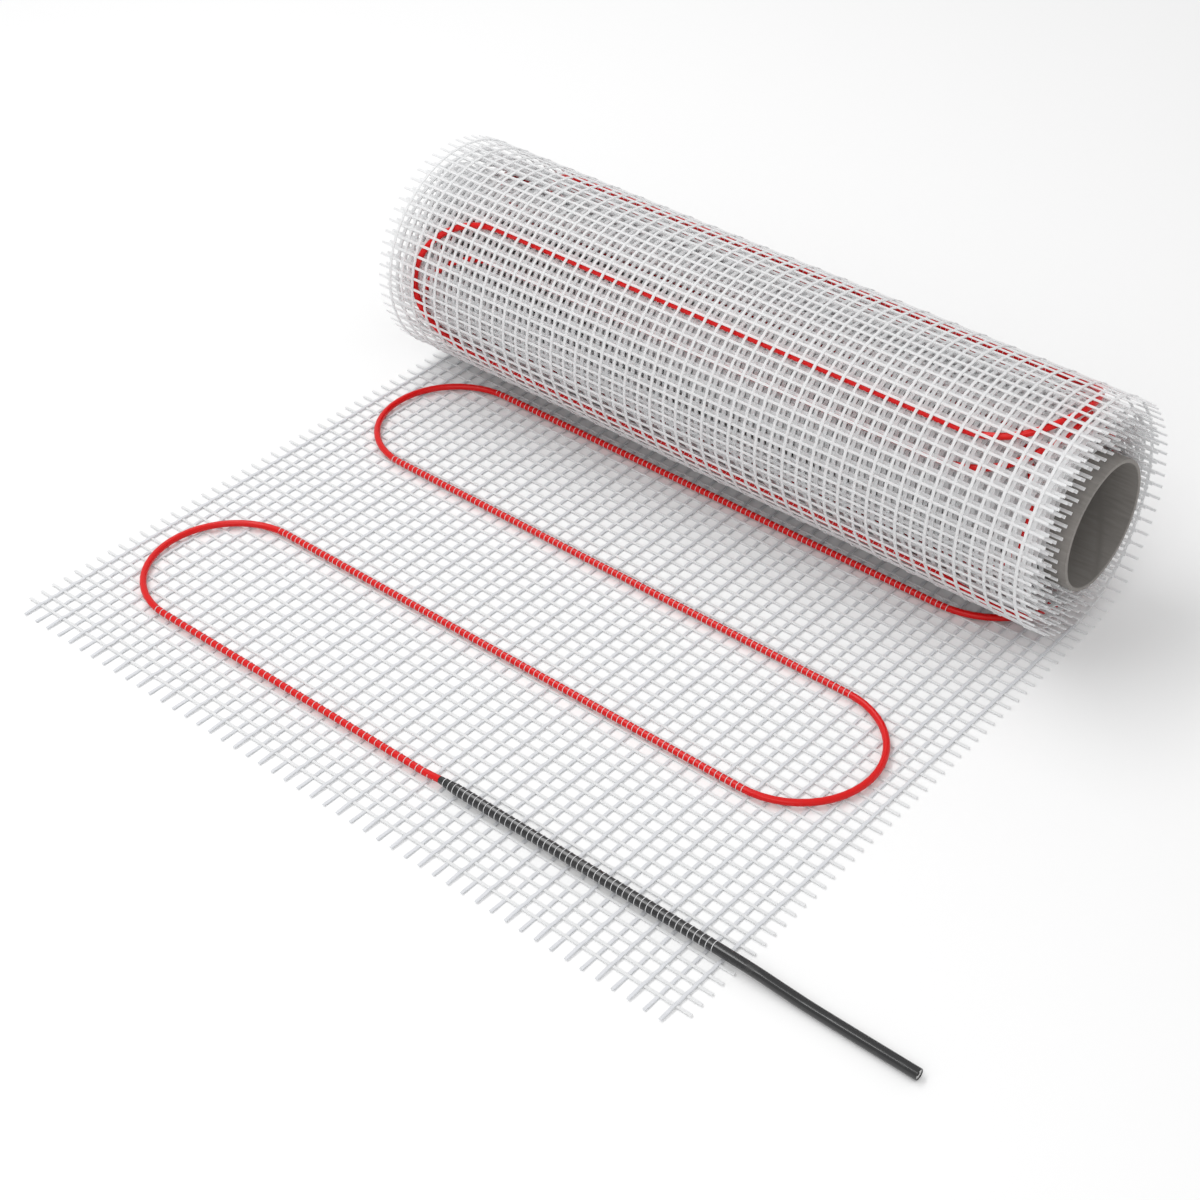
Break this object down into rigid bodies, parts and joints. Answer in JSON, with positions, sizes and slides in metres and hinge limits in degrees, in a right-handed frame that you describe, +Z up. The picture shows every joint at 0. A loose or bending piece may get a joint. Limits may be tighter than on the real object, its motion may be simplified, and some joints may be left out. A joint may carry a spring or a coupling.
{
  "type": "underfloor heating mat",
  "caption": "Partly unrolled electric underfloor heating mat: white laid net, red heating cable stitched on in loops, black cold tail, wound on a cardboard core tube.",
  "frame": {"origin": "on the floor, under the middle of the mat and its roll, without the cold tail", "axes": "+X across the mat, towards the side where the cold tail leaves; +Y from the free front edge towards the roll; +Z up"},
  "size_m": [0.605, 0.464, 0.1515],
  "materials": {
    "net": "white coated glass-fibre strands, satin",
    "core_board": "plain grey-brown paper tube, matt",
    "cable_jacket": "red polymer jacket, glossy",
    "tail_jacket": "black polymer jacket, glossy"
  },
  "bodies": {
    "root": {"net_sheet_1": "net", "net_sheet_2": "net", "net_sheet_3": "net", "net_sheet_4": "net", "net_sheet_5": "net", "mat_roll": "net", "core_tube": "core_board", "heating_cable": "cable_jacket", "cold_tail": "tail_jacket"}
  },
  "joints": []
}
